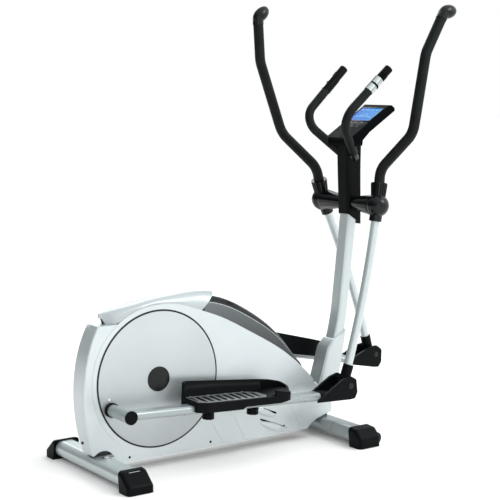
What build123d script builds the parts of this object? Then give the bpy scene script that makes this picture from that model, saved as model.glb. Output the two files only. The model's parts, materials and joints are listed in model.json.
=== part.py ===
from build123d import *
import os
from math import asin, atan2, cos, degrees, hypot, radians, sin, sqrt

# Elliptical trainer with a rear crank drive, modelled in millimetres.
# +X points forward, the way the user faces. +Y is the user's left and +Z is up.
# The origin is on the floor, below the middle of the machine's overall length and width.
# The machine is symmetric about the XZ plane apart from its pose: the two crank pins are half a turn apart.

OUT = "parts"
os.makedirs(OUT, exist_ok=True)

# ---------------------------------------------------------------- driving dimensions
# Crank and linkage
crank_x = -438.0              # crank axis, along Y
crank_z = 318.0
crank_throw = 214.0           # crank pin radius, which gives the stride
crank_rest_angle = 203.2      # direction of the right crank pin at rest, from +X towards +Z
arm_x = crank_x + 905.0       # swing arm pivot axis, along Y
arm_z = 898.0
arm_y = 168.0                 # middle of the swing arm's ball joint
lower_u = -46.0               # lower pivot in the arm's own frame, forward
lower_v = -692.5              # lower pivot in the arm's own frame, up
pin_to_pivot = 957.5          # distance from crank pin to lower pivot
pivot_rise = 36.0             # height of the lower pivot above the pedal bar's centre line
bar_y = 149.0                 # middle of the pedal bar

# Casing
casing_half = 42.0            # half width at the flat sides
wall = 3.0                    # moulded wall thickness
disc_r = 243.0
disc_face_y = 45.0
disc_thick = 8.0
recess_r = 248.0
recess_floor_y = 33.0
ring_r = 267.0                # outer radius of the raised ring round the crank disc
ring_rise = 1.2
casing_bottom = 34.0
rear_step_z = 530.0

# Base
rear_foot_x = crank_x - 226.0
front_foot_x = crank_x + 771.0
foot_length = 604.0
foot_tube_half = 256.0         # the tubes end inside their end caps
foot_tube_w = 84.0
foot_tube_bottom = 10.0
foot_tube_top = 68.0
foot_round = 27.0
foot_tube_wall = 2.5
cap_length = 62.0
cap_w = 103.0
cap_top = 73.0
rail_w = 50.0
rail_h = 40.0

# Mast
mast_w = 58.0                 # across, along Y
mast_d = 47.0                 # fore and aft
mast_wall = 2.5
shroud_half = 35.0

# Tubes
grip_tube_r = 14.0
foam_r = 20.0
arm_tube_r = 16.5
inner_foam_r = 17.0
bar_w = 60.0
bar_h = 30.0

# Power inlet in the casing's nose
inlet_z = 107.0
inlet_r = 7.0

# Console
console_half = 78.0           # half width
console_slope = 32.5          # tilt of its face from level, degrees
button_r = 6.0
button_travel = 1.2

# Running fits
run_gap = 0.05                # radial clearance of a shaft in its bearing
side_gap = 0.5                # end clearance between parts that turn past each other


# ---------------------------------------------------------------- helpers
def save(name, shape):
    """Write one node as a STEP file."""
    export_step(shape, os.path.join(OUT, name + ".step"))


def rod(start, end, radius):
    """Round bar between two points."""
    a = Vector(*start)
    b = Vector(*end)
    length = (b - a).length
    plane = Plane(origin=a, z_dir=b - a)
    return plane * Cylinder(radius, length, align=(Align.CENTER, Align.CENTER, Align.MIN))


def cross_rod(x, z, y0, y1, radius):
    """Round bar along Y."""
    return rod((x, y0, z), (x, y1, z), radius)


def cross_ring(x, z, y0, y1, outer, inner):
    """Ring with its axis along Y."""
    return cross_rod(x, z, y0, y1, outer) - cross_rod(x, z, y0 - 1, y1 + 1, inner)


def box(x0, x1, y0, y1, z0, z1):
    """Box from its lowest and highest corners."""
    size = Box(x1 - x0, y1 - y0, z1 - z0)
    return Pos((x0 + x1) / 2, (y0 + y1) / 2, (z0 + z1) / 2) * size


def side_plate(wire_edges, y0, y1):
    """Flat shape in the XZ plane, given by its closed edges at Y = 0, made solid from y0 to y1."""
    face = make_face(wire_edges)
    solid = extrude(Pos(0, y0, 0) * face, amount=y1 - y0, dir=(0, 1, 0))
    return solid


def at(points):
    """Points of the XZ plane given from the crank axis in X, as space points."""
    return [(crank_x + x, 0, z) for x, z in points]


def polygon_plate(points, y0, y1):
    """Plate with a straight-sided outline, its X given from the crank axis."""
    return side_plate(Polyline(*at(points), close=True), y0, y1)


def bent_tube(path, outer, inner):
    """Round tube along a path. An inner radius of zero leaves it solid."""
    plane = Plane(origin=path @ 0, z_dir=path % 0)
    section = Circle(outer) - Circle(inner) if inner else Circle(outer)
    return sweep(plane * section, path=path)


def mirrored(shape, side):
    """The +Y shape itself for side 1, or its mirror image for side -1."""
    return shape if side > 0 else mirror(shape, about=Plane.XZ)


def place(shape, side, x, z, pitch):
    """Set a +Y shape on its side of the machine, turned about Y by pitch degrees."""
    return Pos(x, 0, z) * (Rot(0, pitch, 0) * mirrored(shape, side))


# ---------------------------------------------------------------- linkage at rest
lower_arm = hypot(lower_u, lower_v)


def solve_side(pin_angle):
    """Crank pin, lower pivot, arm angle and bar pitch for one side of the linkage."""
    pin_x = crank_x + crank_throw * cos(radians(pin_angle))
    pin_z = crank_z + crank_throw * sin(radians(pin_angle))
    dx = arm_x - pin_x
    dz = arm_z - pin_z
    reach = hypot(dx, dz)
    along = (pin_to_pivot ** 2 - lower_arm ** 2 + reach ** 2) / (2 * reach)
    off = sqrt(pin_to_pivot ** 2 - along ** 2)
    low_x = pin_x + along * dx / reach + off * dz / reach
    low_z = pin_z + along * dz / reach - off * dx / reach
    drawn = atan2(lower_u, lower_v)
    actual = atan2(low_x - arm_x, low_z - arm_z)
    arm_angle = degrees(actual - drawn)
    arm_angle = (arm_angle + 180) % 360 - 180
    slope = degrees(atan2(pin_z - low_z, low_x - pin_x))
    bar_pitch = slope + degrees(asin(pivot_rise / pin_to_pivot))
    return pin_x, pin_z, low_x, low_z, arm_angle, bar_pitch


right_side = solve_side(crank_rest_angle)
left_side = solve_side(crank_rest_angle - 180)
pivot_local_x = sqrt(pin_to_pivot ** 2 - pivot_rise ** 2)


# ---------------------------------------------------------------- casing
step_back_x = -240.0          # rear end of the flat step behind the hood
step_front_x = -161.0
shoulder = [(0, crank_z + ring_r), (70, 581), (130, 566), (192, 544), (265, 516), (391, 451),
            (521, 377), (621, 303), (700, 228), (762, 168)]
nose_x = 796.0
cover_seam_top = (585.0, 143.0)
cover_seam_foot = (632.0, 56.0)


def casing_outline(inset):
    """Closed outline of the casing's flat side, set in by a wall thickness where asked."""
    step_z = rear_step_z - inset
    rear = [(step_back_x + inset, step_z), (-288 + inset, 400), (-299 + inset, 300),
            (-292 + inset, 190), (-262 + inset, 74)]
    top = [(x, z - inset) for x, z in shoulder]
    nose = [(nose_x - 12 - inset, 140 - inset), (nose_x - inset, 128 - inset), (nose_x - inset, 86),
            (nose_x - 75, 62), (690, 50)]
    step = Line(*at([rear[0], (step_front_x, step_z)]))
    ring_top = (-90, crank_z + sqrt(ring_r ** 2 - 90 ** 2) - inset)
    ring_arc = ThreePointArc(*at([(step_front_x, step_z), ring_top, top[0]]))
    bottom_z = casing_bottom - (1 if inset else 0)
    lines = Polyline(*at([top[-1]] + nose + [(670, bottom_z), (-200, bottom_z), rear[-1]]))
    return Spline(*at(rear)) + step + ring_arc + Spline(*at(top)) + lines


def foot_tunnel(x):
    """Room in the casing for a cross tube below it."""
    half = foot_tube_w / 2 + 1
    return box(x - half, x + half, -60, 60, -1, foot_tube_top + 1)


outer_plate = side_plate(casing_outline(0), 0, casing_half)
inner_plate = side_plate(casing_outline(wall), -1, casing_half - wall)
rear_edges = [e for e in outer_plate.edges()
              if e.center().Y > casing_half - 0.1 and e.center().X < crank_x - 255 and e.length > 200]
outer_plate = fillet(rear_edges, 9)


def seam_groove(x0, z0, x1, z1):
    """Shallow groove in the side face between two moulded panels."""
    length = hypot(x1 - x0, z1 - z0)
    pitch = degrees(atan2(z0 - z1, x1 - x0))
    strip = Box(length, 2.0, 1.6)
    turned_strip = Rot(0, pitch, 0) * strip
    return Pos(crank_x + (x0 + x1) / 2, casing_half, (z0 + z1) / 2) * turned_strip


def vent(x, z, length, height):
    """Through slot that slopes down to the front, one gill of the cooling vent."""
    fall = radians(22)
    face = Plane(origin=(crank_x + x, 30, z), x_dir=(cos(fall), 0, -sin(fall)), z_dir=(0, 1, 0))
    return extrude(face * SlotOverall(length, height), amount=20)


screw_spots = [(223, 52), (-120, 50)]


def side_shell():
    """Left half of the casing with its recess for the crank disc."""
    shell = outer_plate - inner_plate
    shell = shell - cross_rod(crank_x, crank_z, recess_floor_y, casing_half + 5, recess_r)
    dish = cross_ring(crank_x, crank_z, recess_floor_y, casing_half, recess_r + wall, recess_r)
    floor = cross_ring(crank_x, crank_z, recess_floor_y - wall, recess_floor_y, recess_r + wall, 31)
    ring = cross_ring(crank_x, crank_z, casing_half - wall, casing_half + ring_rise, ring_r, recess_r)
    shell = shell + dish + floor + ring
    shell = shell - box(crank_x - 400, crank_x + 900, -5, 60, 0, casing_bottom)
    shell = shell - foot_tunnel(rear_foot_x) - foot_tunnel(front_foot_x)
    shell = shell - cross_rod(rear_foot_x, 42, -60, 60, 48)
    shell = shell - seam_groove(218, 137, 283, 36) - seam_groove(262, 246, 380, 36)
    shell = shell - vent(472, 138, 112, 7) - vent(511, 78, 138, 7)
    for x, z in screw_spots:
        shell = shell - cross_rod(crank_x + x, z, 30, 60, 5)
    cover_cut = polygon_plate([cover_seam_top, (610, 215), (900, 215), (900, 0), (632, 0), cover_seam_foot],
                              -1, 60)
    shell = shell - cover_cut
    mast_cut = box(crank_x + 700, crank_x + 900, -5, 60, 170, 300)
    return shell - mast_cut


left_shell = side_shell()
save("casing_left_shell", left_shell)
save("casing_right_shell", mirrored(left_shell, -1))


def arch(x, half, foot_z, side_z, top_z):
    """Cross section of the top covers: straight sides under a rounded crown."""
    cx = crank_x + x
    crown_z = side_z + (top_z - side_z) * 4 / 3
    left = (cx, half, side_z)
    right = (cx, -half, side_z)
    crown = Bezier(left, (cx, half, crown_z), (cx, -half, crown_z), right)
    sides = Polyline(right, (cx, -half, foot_z), (cx, half, foot_z), left)
    return make_face(crown + sides)


def hood_solid(inset):
    """Body of the hood from its pointed tail to its front lip, without its lower cut."""
    rows = [(-215, 4, 564, 566), (-182, 24, 561, 575), (-145, casing_half, 557, 583),
            (-60, casing_half, 578, 598), (51, casing_half, 582, 611), (130, casing_half, 565, 613),
            (192, casing_half, 543, 612), (258, casing_half, 524, 605)]
    sections = []
    for number, (x, half, side_z, top_z) in enumerate(rows):
        if number == 0:
            x += 3 * inset
        if number == len(rows) - 1:
            x -= inset
        sections.append(arch(x, max(half - inset, 1.5), 500 - inset, side_z - inset / 2, top_z - inset))
    return loft(sections)


below_hood = side_plate(casing_outline(0), -60, 60)
ring_clearance = cross_rod(crank_x, crank_z, -60, 60, ring_r + 0.3)
tail_notch = polygon_plate([(-240, 490), (-240, 551), (-206, 551), (-196, rear_step_z + 0.3),
                            (-150, rear_step_z + 0.3), (-150, 490)], -60, 60)
front_lip = polygon_plate([(184, 480), (184, 544), (262, 612), (300, 612), (300, 400)], -60, 60)
hood_outer = hood_solid(0)
hood_sides = box(crank_x - 300, crank_x + 400, -casing_half, casing_half, 400, 700)
hood_room = box(crank_x - 300, crank_x + 400, wall - casing_half, casing_half - wall, 400, 700)
hood = (hood_outer & hood_sides) - (hood_solid(wall) & hood_room)
hood = hood - below_hood - ring_clearance - tail_notch - front_lip
hood = max(hood.solids(), key=lambda s: s.volume)
save("casing_hood", hood)


def panel_solid(inset):
    """Body of the dark inset panel that runs down the casing's front."""
    rows = [(200, 520, 598), (262, 497, 587), (357, 451, 552), (421, 416, 516), (518, 361, 447),
            (585, 314, 378), (648, 262, 303)]
    sections = []
    for x, side_z, top_z in rows:
        sections.append(arch(x, casing_half - 2 - inset, 180, side_z - inset, top_z - inset))
    return loft(sections)


panel = panel_solid(0) - panel_solid(wall) - below_hood - (hood_outer - front_lip)
panel = max(panel.solids(), key=lambda s: s.volume)
save("casing_inset_panel", panel)

# The front cover closes the nose of the casing over the front cross tube.
cover_points = [(585.6, 143), (610.6, 214.6), (713, 214.6), (762, 168), (784, 140), (796, 128), (796, 86),
                (721, 62), (690, 50), (672, casing_bottom), (632.6, casing_bottom), (632.6, 56)]
cover_inner = [(588.6, 143), (612, 220), (704, 220), (758, 166), (782, 137), (793, 126), (793, 88),
               (719, 65), (688, 53), (671, 20), (635.6, 20), (635.6, 56)]
cover = polygon_plate(cover_points, -casing_half, casing_half)
nose_edges = [e for e in cover.edges()
              if e.center().X > crank_x + 715 and abs(abs(e.center().Y) - casing_half) < 0.1]
cover = fillet(nose_edges, 9)
cover = cover - polygon_plate(cover_inner, wall - casing_half, casing_half - wall)
cover = cover - box(crank_x + 580, crank_x + 640, wall - casing_half, casing_half - wall, 20, 220)
cover = cover - foot_tunnel(front_foot_x)

# ---------------------------------------------------------------- mast
mast_path = FilletPolyline(*at([(757, 108), (852, 430), (905, arm_z), (908, 1084)]), radius=[800, 1400])


def along_mast(width, depth, corner):
    """Solid of rounded rectangular section along the mast's centre line."""
    t = mast_path % 0
    plane = Plane(origin=mast_path @ 0, x_dir=(t.Z, 0, -t.X), z_dir=t)
    return sweep(plane * RectangleRounded(depth, width, corner), path=mast_path)


mast_outer = along_mast(mast_w, mast_d, 12)
mast_room = along_mast(mast_w + 0.6, mast_d + 0.6, 12.3)
below_rail_top = box(crank_x + 600, crank_x + 900, -60, 60, 0, 108)
axle_hole = cross_rod(arm_x, arm_z, -80, 80, 10)
mast_tube = mast_outer - along_mast(mast_w - 2 * mast_wall, mast_d - 2 * mast_wall, 9.5)
mast_tube = mast_tube - below_rail_top - axle_hole
save("mast_tube", mast_tube)

sheath = polygon_plate([(712, 152), (739, 213), (777, 339), (806, 368), (868, 404), (848, 291), (822, 172),
                        (812, 152)], -38, 38)
sheath_edges = [e for e in sheath.edges() if abs(abs(e.center().Y) - 38) < 0.1]
sheath = chamfer(sheath_edges, 6)
sheath_inner = polygon_plate([(716, 140), (743, 213), (780.5, 338), (808, 365), (863, 399), (845, 291),
                              (818, 165), (808, 140)], -35, 35)
sheath = sheath - sheath_inner - mast_room
cover = cover - polygon_plate([(712, 151), (739, 213), (777, 339), (868, 404), (848, 291), (822.5, 171),
                               (812.5, 151)], -38.2, 38.2)
rail_room = box(crank_x + 560, crank_x + 782.3, -rail_w / 2 - 0.3, rail_w / 2 + 0.3,
                60, foot_tube_top + rail_h + 0.3)
inlet_hole = rod((crank_x + 780, 0, inlet_z), (crank_x + 800, 0, inlet_z), inlet_r)
cover = cover - mast_room - rail_room - inlet_hole
sheath = max((sheath - cover - left_shell - mirrored(left_shell, -1)).solids(), key=lambda s: s.volume)
cover = max(cover.solids(), key=lambda s: s.volume)
save("mast_sheath", sheath)
save("casing_front_cover", cover)


inlet = rod((crank_x + 786, 0, inlet_z), (crank_x + 796, 0, inlet_z), inlet_r)
inlet = inlet + rod((crank_x + 796, 0, inlet_z), (crank_x + 797.5, 0, inlet_z), inlet_r + 2)
inlet = inlet - rod((crank_x + 788, 0, inlet_z), (crank_x + 799, 0, inlet_z), 2.8)
inlet = inlet + rod((crank_x + 787, 0, inlet_z), (crank_x + 796.5, 0, inlet_z), 1.0)
save("power_inlet", inlet)

# ---------------------------------------------------------------- base frame and feet
flywheel_x = crank_x + 430
flywheel_z = 260.0
flywheel_r = 115.0
flywheel_axle_r = 8.0
small_pulley_r = 20.0
drive_pulley_r = 180.0
belt_y0 = 12.0
belt_y1 = 24.0
belt_thick = 3.0
crank_axle_r = 10.0
bearing_r = 26.0
rail_top = foot_tube_top + rail_h

rail = box(crank_x - 250, crank_x + 782, -rail_w / 2, rail_w / 2, foot_tube_top, rail_top)
rail = rail - box(crank_x - 247, crank_x + 779, 3 - rail_w / 2, rail_w / 2 - 3, foot_tube_top + 3, rail_top - 3)
post = box(crank_x - 22, crank_x + 22, -28, 8, rail_top, crank_z)
housing = cross_rod(crank_x, crank_z, -28, 8, bearing_r + 8)
fork = box(flywheel_x - 30, flywheel_x + 30, -34, 34, rail_top, rail_top + 6)
fork = fork + box(flywheel_x - 15, flywheel_x + 15, -32, -26, rail_top, flywheel_z + 134)
fork = fork + box(flywheel_x - 15, flywheel_x + 15, 28, 34, rail_top, flywheel_z + 20)
base_frame = rail + post + housing + fork
base_frame = base_frame - cross_rod(crank_x, crank_z, -40, 20, bearing_r)
base_frame = base_frame - cross_rod(flywheel_x, flywheel_z, -40, 40, flywheel_axle_r + run_gap)
save("base_frame", base_frame)

bearings = []
for y in (-28, -4):
    bearings.append(cross_ring(crank_x, crank_z, y, y + 12, bearing_r, crank_axle_r + run_gap))
save("crank_bearings", Compound(bearings))

magnet = cross_ring(flywheel_x, flywheel_z, -26, 10, flywheel_r + 17, flywheel_r + 3)
magnet = magnet & box(flywheel_x - 70, flywheel_x + 70, -30, 30, flywheel_z + 60, flywheel_z + 150)
save("brake_magnet", magnet)


def foot_tube(x, grow):
    """Solid cross tube of rounded rectangular section, its section grown by an amount."""
    width = foot_tube_w + 2 * grow
    height = foot_tube_top - foot_tube_bottom + 2 * grow
    section = RectangleRounded(width, height, foot_round + grow)
    middle_z = (foot_tube_top + foot_tube_bottom) / 2
    plane = Plane(origin=(x, -foot_tube_half, middle_z), x_dir=(1, 0, 0), z_dir=(0, 1, 0))
    return extrude(plane * section, amount=2 * foot_tube_half)


def stabilizer(x):
    """Hollow cross tube of the base."""
    return foot_tube(x, 0) - foot_tube(x, -foot_tube_wall)


save("rear_stabilizer", stabilizer(rear_foot_x))
save("front_stabilizer", stabilizer(front_foot_x))

foot_half = foot_length / 2


def end_cap(x, slope_length, tip_z):
    """Shoe-shaped cap that slopes down over its outer end to a blunt tip."""
    inner_y = foot_half - cap_length
    outline = Polyline((x, inner_y, 0), (x, inner_y - 8, cap_top), (x, foot_half - slope_length, cap_top - 3),
                       (x, foot_half, tip_z), (x, foot_half, 0), close=True)
    profile = make_face(outline)
    shape = extrude(Pos(-cap_w / 2, 0, 0) * profile, amount=cap_w, dir=(1, 0, 0))
    across = [e for e in shape.edges() if abs(e.center().X - x) < 0.1 and e.center().Z > 25
              and e.center().Y > inner_y]
    shape = fillet(across, 16)
    long_edges = [e for e in shape.edges() if e.center().Z > 1 and abs(abs(e.center().X - x) - cap_w / 2) < 0.1
                  and e.center().Y > inner_y]
    return fillet(long_edges, 14)


wheel_x = front_foot_x + 46
wheel_z = 26.0
wheel_r = 24.0
wheel_y0 = foot_half - 42
wheel_y1 = foot_half - 18
caps = []
wheel_slot = box(wheel_x - wheel_r - 4, wheel_x + 60, wheel_y0 - 1.5, wheel_y1 + 1.5,
                 -1, wheel_z + wheel_r + 4)
for foot_x, slope_length, tip_z in ((rear_foot_x, 50, 28), (front_foot_x, 30, 40)):
    for side in (1, -1):
        cap = end_cap(foot_x, slope_length, tip_z)
        if foot_x == front_foot_x:
            cap = cap - wheel_slot
        cap = mirrored(cap, side) - foot_tube(foot_x, 0)
        if foot_x == front_foot_x:
            cap = cap + mirrored(cross_rod(wheel_x, wheel_z, wheel_y0 - 6, wheel_y1 + 6, 4), side)
        caps.append(cap)
save("stabilizer_end_caps", Compound(caps))

for side, name in ((1, "left"), (-1, "right")):
    wheel = cross_ring(wheel_x, wheel_z, wheel_y0, wheel_y1, wheel_r, 4 + run_gap)
    save(name + "_transport_wheel", mirrored(fillet(wheel.edges().group_by(SortBy.LENGTH)[-1], 3), side))

# ---------------------------------------------------------------- crank, belt and flywheel
disc_inner_y = disc_face_y - disc_thick
hub_r = 45.0
hub_face_y = disc_face_y + 4
boss_r = 16.0
save("crank_axle", cross_rod(crank_x, crank_z, -disc_inner_y, disc_inner_y, crank_axle_r))

discs = []
hub_caps = []
for side, pin in ((1, left_side), (-1, right_side)):
    disc = cross_rod(crank_x, crank_z, disc_inner_y, disc_face_y, disc_r)
    disc = disc + cross_rod(pin[0], pin[1], disc_face_y, hub_face_y, boss_r)
    discs.append(mirrored(disc, side))
    cap_plane = Plane(origin=(crank_x, disc_face_y, crank_z), z_dir=(0, 1, 0))
    dome = cap_plane * Cylinder(hub_r, 4, align=(Align.CENTER, Align.CENTER, Align.MIN))
    hub_caps.append(mirrored(fillet(dome.edges().group_by(Axis.Y)[-1], 3.5), side))
save("crank_discs", Compound(discs))
save("hub_caps", Compound(hub_caps))

pulley = cross_ring(crank_x, crank_z, belt_y0, belt_y1, drive_pulley_r, crank_axle_r)
for turn in range(5):
    spot_x = crank_x + 105 * cos(radians(72 * turn))
    spot_z = crank_z + 105 * sin(radians(72 * turn))
    pulley = pulley - cross_rod(spot_x, spot_z, 0, 40, 42)
save("drive_pulley", pulley)

flywheel = cross_rod(flywheel_x, flywheel_z, -20, 8, flywheel_r)
flywheel = flywheel - cross_ring(flywheel_x, flywheel_z, -4, 9, flywheel_r - 22, 30)
flywheel = flywheel + cross_rod(flywheel_x, flywheel_z, 8, belt_y1, small_pulley_r)
flywheel = flywheel + cross_rod(flywheel_x, flywheel_z, -33, 35, flywheel_axle_r)
save("flywheel", flywheel)


def belt_hull(big, small, y0, y1):
    """Plate bounded by two circles and their outer tangents."""
    dx = flywheel_x - crank_x
    dz = flywheel_z - crank_z
    spread = asin((big - small) / hypot(dx, dz))
    heading = atan2(dz, dx)
    corners = []
    for x, z, radius, sense in ((crank_x, crank_z, big, 1), (flywheel_x, flywheel_z, small, 1),
                                (flywheel_x, flywheel_z, small, -1), (crank_x, crank_z, big, -1)):
        angle = heading + sense * (radians(90) - spread)
        corners.append((x + radius * cos(angle), 0, z + radius * sin(angle)))
    middle = side_plate(Polyline(*corners, close=True), y0, y1)
    return middle + cross_rod(crank_x, crank_z, y0, y1, big) + cross_rod(flywheel_x, flywheel_z, y0, y1, small)


belt_slack = 0.3
big_r = drive_pulley_r + belt_slack
small_r = small_pulley_r + belt_slack
belt = belt_hull(big_r + belt_thick, small_r + belt_thick, belt_y0, belt_y1)
belt = belt - belt_hull(big_r, small_r, belt_y0 - 1, belt_y1 + 1)
save("drive_belt", belt)

# ---------------------------------------------------------------- mast shroud, console and fixed handlebars
grip_path = FilletPolyline((arm_x + 5, 28, 1072), (arm_x - 141, 121, 1221), (arm_x + 72, 135, 1413), radius=70)
grip_length = grip_path.length


def along_grip(t0, t1, outer, inner):
    """Round sleeve on the fixed handlebar between two distances from its foot."""
    part_path = grip_path.trim(t0 / grip_length, t1 / grip_length)
    return bent_tube(part_path, outer, inner)


mast_block = box(arm_x - 100, arm_x + 100, -mast_w / 2, mast_w / 2, 1000, 1200)
pad_start = grip_length - 124
pad_end = grip_length - 56
grip_bars = {}
foams = []
pads = []
bar_ends = []
for side, name in ((1, "left"), (-1, "right")):
    bar = along_grip(0, grip_length, grip_tube_r, grip_tube_r - 2) - mast_block
    grip_bars[side] = mirrored(bar, side)
    save(name + "_fixed_handlebar", grip_bars[side])
    foams.append(mirrored(along_grip(30, pad_start, inner_foam_r, grip_tube_r), side))
    pads.append(mirrored(along_grip(pad_start, pad_end, inner_foam_r + 1.5, grip_tube_r), side))
    sleeve = along_grip(pad_end, grip_length, inner_foam_r, grip_tube_r)
    tip = grip_path @ 1
    tip_dir = grip_path % 1
    end_disc = rod(tuple(tip), tuple(tip + tip_dir * 5), inner_foam_r)
    bar_ends.append(mirrored(sleeve + end_disc, side))
save("fixed_bar_foam", Compound(foams))
save("pulse_pads", Compound(pads))
save("fixed_bar_end_caps", Compound(bar_ends))
grip_cut = along_grip(0, 200, inner_foam_r + 0.5, 0)
grip_cut = grip_cut + mirrored(grip_cut, -1)

console_foot_z = 1119.0
shroud_rows = [(873, 943, 812, 32), (866, 937, 1031, 35), (863, 938, console_foot_z, shroud_half)]


def shroud_solid(inset):
    """Body of the shroud round the mast, set in by a wall thickness where asked."""
    sections = []
    for x0, x1, z, half in shroud_rows:
        plane = Plane(origin=(crank_x + (x0 + x1) / 2, 0, z), x_dir=(1, 0, 0), z_dir=(0, 0, 1))
        sections.append(plane * RectangleRounded(x1 - x0 - 2 * inset, 2 * half - 2 * inset, 12 - inset))
    return loft(sections, ruled=True)


shroud_outer = shroud_solid(0)
shroud = shroud_outer - shroud_solid(wall)
for z in (880, 990, 1110):
    web = shroud_outer & box(arm_x - 100, arm_x + 100, -50, 50, z, z + 3)
    shroud = shroud + web
slant = polygon_plate([(860, 800), (860, 856), (876, 856), (946, 811), (946, 800)], -60, 60)
shroud = shroud - mast_room - slant - cross_rod(arm_x, arm_z, -60, 60, 11) - grip_cut
shroud = max(shroud.solids(), key=lambda s: s.volume)
save("mast_shroud", shroud)
save("pivot_axle", cross_rod(arm_x, arm_z, -arm_y - 8, arm_y + 8, crank_axle_r))

console_points = [(846, 1152), (1040, 1275.6), (1053, 1275), (1067, 1264), (1067, 1253), (940, 1172),
                  (884, 1121), (878, console_foot_z), (843, console_foot_z), (839, 1130), (839, 1142)]
console_room = [(848, 1149.7), (1040, 1272), (1052, 1271.5), (1064, 1262), (1064, 1254.6), (938.4, 1174.5),
                (882, console_foot_z + wall), (845, console_foot_z + wall), (842, 1131), (842, 1141)]
neck_points = [(863, console_foot_z), (938, console_foot_z), (941, 1140), (952, 1162), (968, 1186), (930, 1182)]
neck_room = [(869, console_foot_z - 1), (935, console_foot_z - 1), (938, 1142), (952, 1168),
             (950, 1178), (934, 1178)]
console = polygon_plate(console_points, -console_half, console_half)
console_soft = [e for e in console.edges() if abs(abs(e.center().Y) - console_half) < 0.1]
console = fillet(console_soft, 5)
console = console + polygon_plate(neck_points, -shroud_half, shroud_half)
console = console - polygon_plate(console_room, wall - console_half, console_half - wall)
console = console - polygon_plate(neck_room, wall - shroud_half, shroud_half - wall)
console = console - grip_cut

face_dir = Vector(cos(radians(console_slope)), 0, sin(radians(console_slope)))
face_out = Vector(-sin(radians(console_slope)), 0, cos(radians(console_slope)))
face_foot = Vector(crank_x + 846, 0, 1152)


def on_face(along, across, height):
    """Point of the console's face, from its rear lip upwards, to its left and out of it."""
    return face_foot + face_dir * along + Vector(0, across, 0) + face_out * height


def face_block(a0, a1, half, h0, h1):
    """Block lying along the console's face."""
    middle = on_face((a0 + a1) / 2, 0, (h0 + h1) / 2)
    plane = Plane(origin=middle, x_dir=face_dir, z_dir=face_out)
    return plane * Box(a1 - a0, 2 * half, h1 - h0)


screen_start = 118.0
screen_end = 207.0
screen_half = 65.0
screen_thick = 1.6
console = console - face_block(screen_start, screen_end, screen_half, -screen_thick, 4)
button_seat = 92.0
button_gap = 0.3
flange_z = -5.0
for across in (-34, 0, 34):
    console = console - rod(on_face(button_seat, across, -6), on_face(button_seat, across, 4),
                            button_r + button_gap)
console = max(console.solids(), key=lambda s: s.volume)
save("console_housing", console)
save("console_screen", face_block(screen_start, screen_end, screen_half, -screen_thick, -0.4))
for across, name in ((34, "left"), (0, "centre"), (-34, "right")):
    button = rod(on_face(button_seat, across, flange_z), on_face(button_seat, across, 1.6), button_r)
    button = button + rod(on_face(button_seat, across, flange_z - 1.5), on_face(button_seat, across, flange_z), 8)
    save("console_button_" + name, button)

# ---------------------------------------------------------------- pedal bars
hub_tube_r = 22.0
pin_r = 8.0
hub_bore_r = 14.0
bar_end_x = 925.0
ear_t = 3.0
bar_side = bar_w / 2
ear_in = bar_y - bar_side
ear_out = bar_y + bar_side
fork_t = 12.0
knob_spots = (340.6, 534.6)
pedal_x0 = 262.0
pedal_x1 = 690.0
pedal_y0 = 84.0
pedal_y1 = 214.0
tread_z = 30.0


def xz_plate(points, y0, y1):
    """Plate in a pedal bar's or an arm's own frame."""
    return side_plate(Polyline(*[(x, 0, z) for x, z in points], close=True), y0, y1)


def bar_section(grow):
    """Bar tube's outline as a solid from end to end."""
    plane = Plane(origin=(0, bar_y, 0), x_dir=(0, 1, 0), z_dir=(1, 0, 0))
    section = RectangleRounded(bar_w + 2 * grow, bar_h + 2 * grow, 12 + grow)
    return extrude(plane * section, amount=bar_end_x)


def pedal_bar():
    """Bar tube with its cross hub at the crank pin and two ears at the arm."""
    tube = bar_section(0) - bar_section(-2.5)
    tube = tube - cross_rod(0, 0, 62, 185, hub_tube_r)
    hub = cross_ring(0, 0, 62, 185, hub_tube_r, hub_bore_r)
    shape = tube + hub
    for y in (ear_in - ear_t, ear_out):
        ear = xz_plate([(855, -13), (bar_end_x, -13), (pivot_local_x + 19, pivot_rise - 8),
                        (pivot_local_x - 17, pivot_rise + 8), (905, 13), (855, 13)], y, y + ear_t)
        ear = ear + cross_rod(pivot_local_x, pivot_rise, y, y + ear_t, 20)
        shape = shape + ear
    shape = shape - cross_rod(pivot_local_x, pivot_rise, 100, 200, pin_r)
    for x in knob_spots:
        shape = shape - rod((x, bar_y, -30), (x, bar_y, 30), 5)
    return shape


def fork_cover(y0, y1):
    """Moulded cover over one ear."""
    cover_face = [(806, -17), (812, -8), (920, 62), (pivot_local_x, pivot_rise + 38), (986, 60),
                  (995, 10), (985, -14), (960, -17)]
    shape = xz_plate(cover_face, y0, y1)
    corners = [e for e in shape.edges().filter_by(Axis.Y) if e.center().X > 900]
    shape = fillet(corners, 12)
    rims = [e for e in shape.edges() if abs(e.center().Y - (y0 if y0 < bar_y else y1)) < 0.1]
    return fillet(rims, 3)


tray_walls = 8.0


def tray_plan(inset, z0, z1):
    """Foot shape of the pedal seen from above, as a block."""
    x0 = pedal_x0 + inset
    x1 = pedal_x1 - inset
    y0 = pedal_y0 + inset
    y1 = pedal_y1 - inset
    toe = Spline((x1 - 78, y0, z0), (x1 - 22, y0 + 17, z0), (x1, (y0 + y1) / 2 - 4, z0),
                 (x1 - 26, y1 - 18, z0), (x1 - 84, y1, z0), tangents=[(1, 0, 0), (-1, 0, 0)])
    heel = Polyline((x1 - 84, y1, z0), (x0 + 34, y1, z0), (x0, y1 - 22, z0), (x0, y0, z0), (x1 - 78, y0, z0))
    block = extrude(make_face(toe + heel), amount=z1 - z0, dir=(0, 0, 1))
    corners = [e for e in block.edges().filter_by(Axis.Z) if e.center().X < x0 + 60]
    return fillet(corners, 8)


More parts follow.
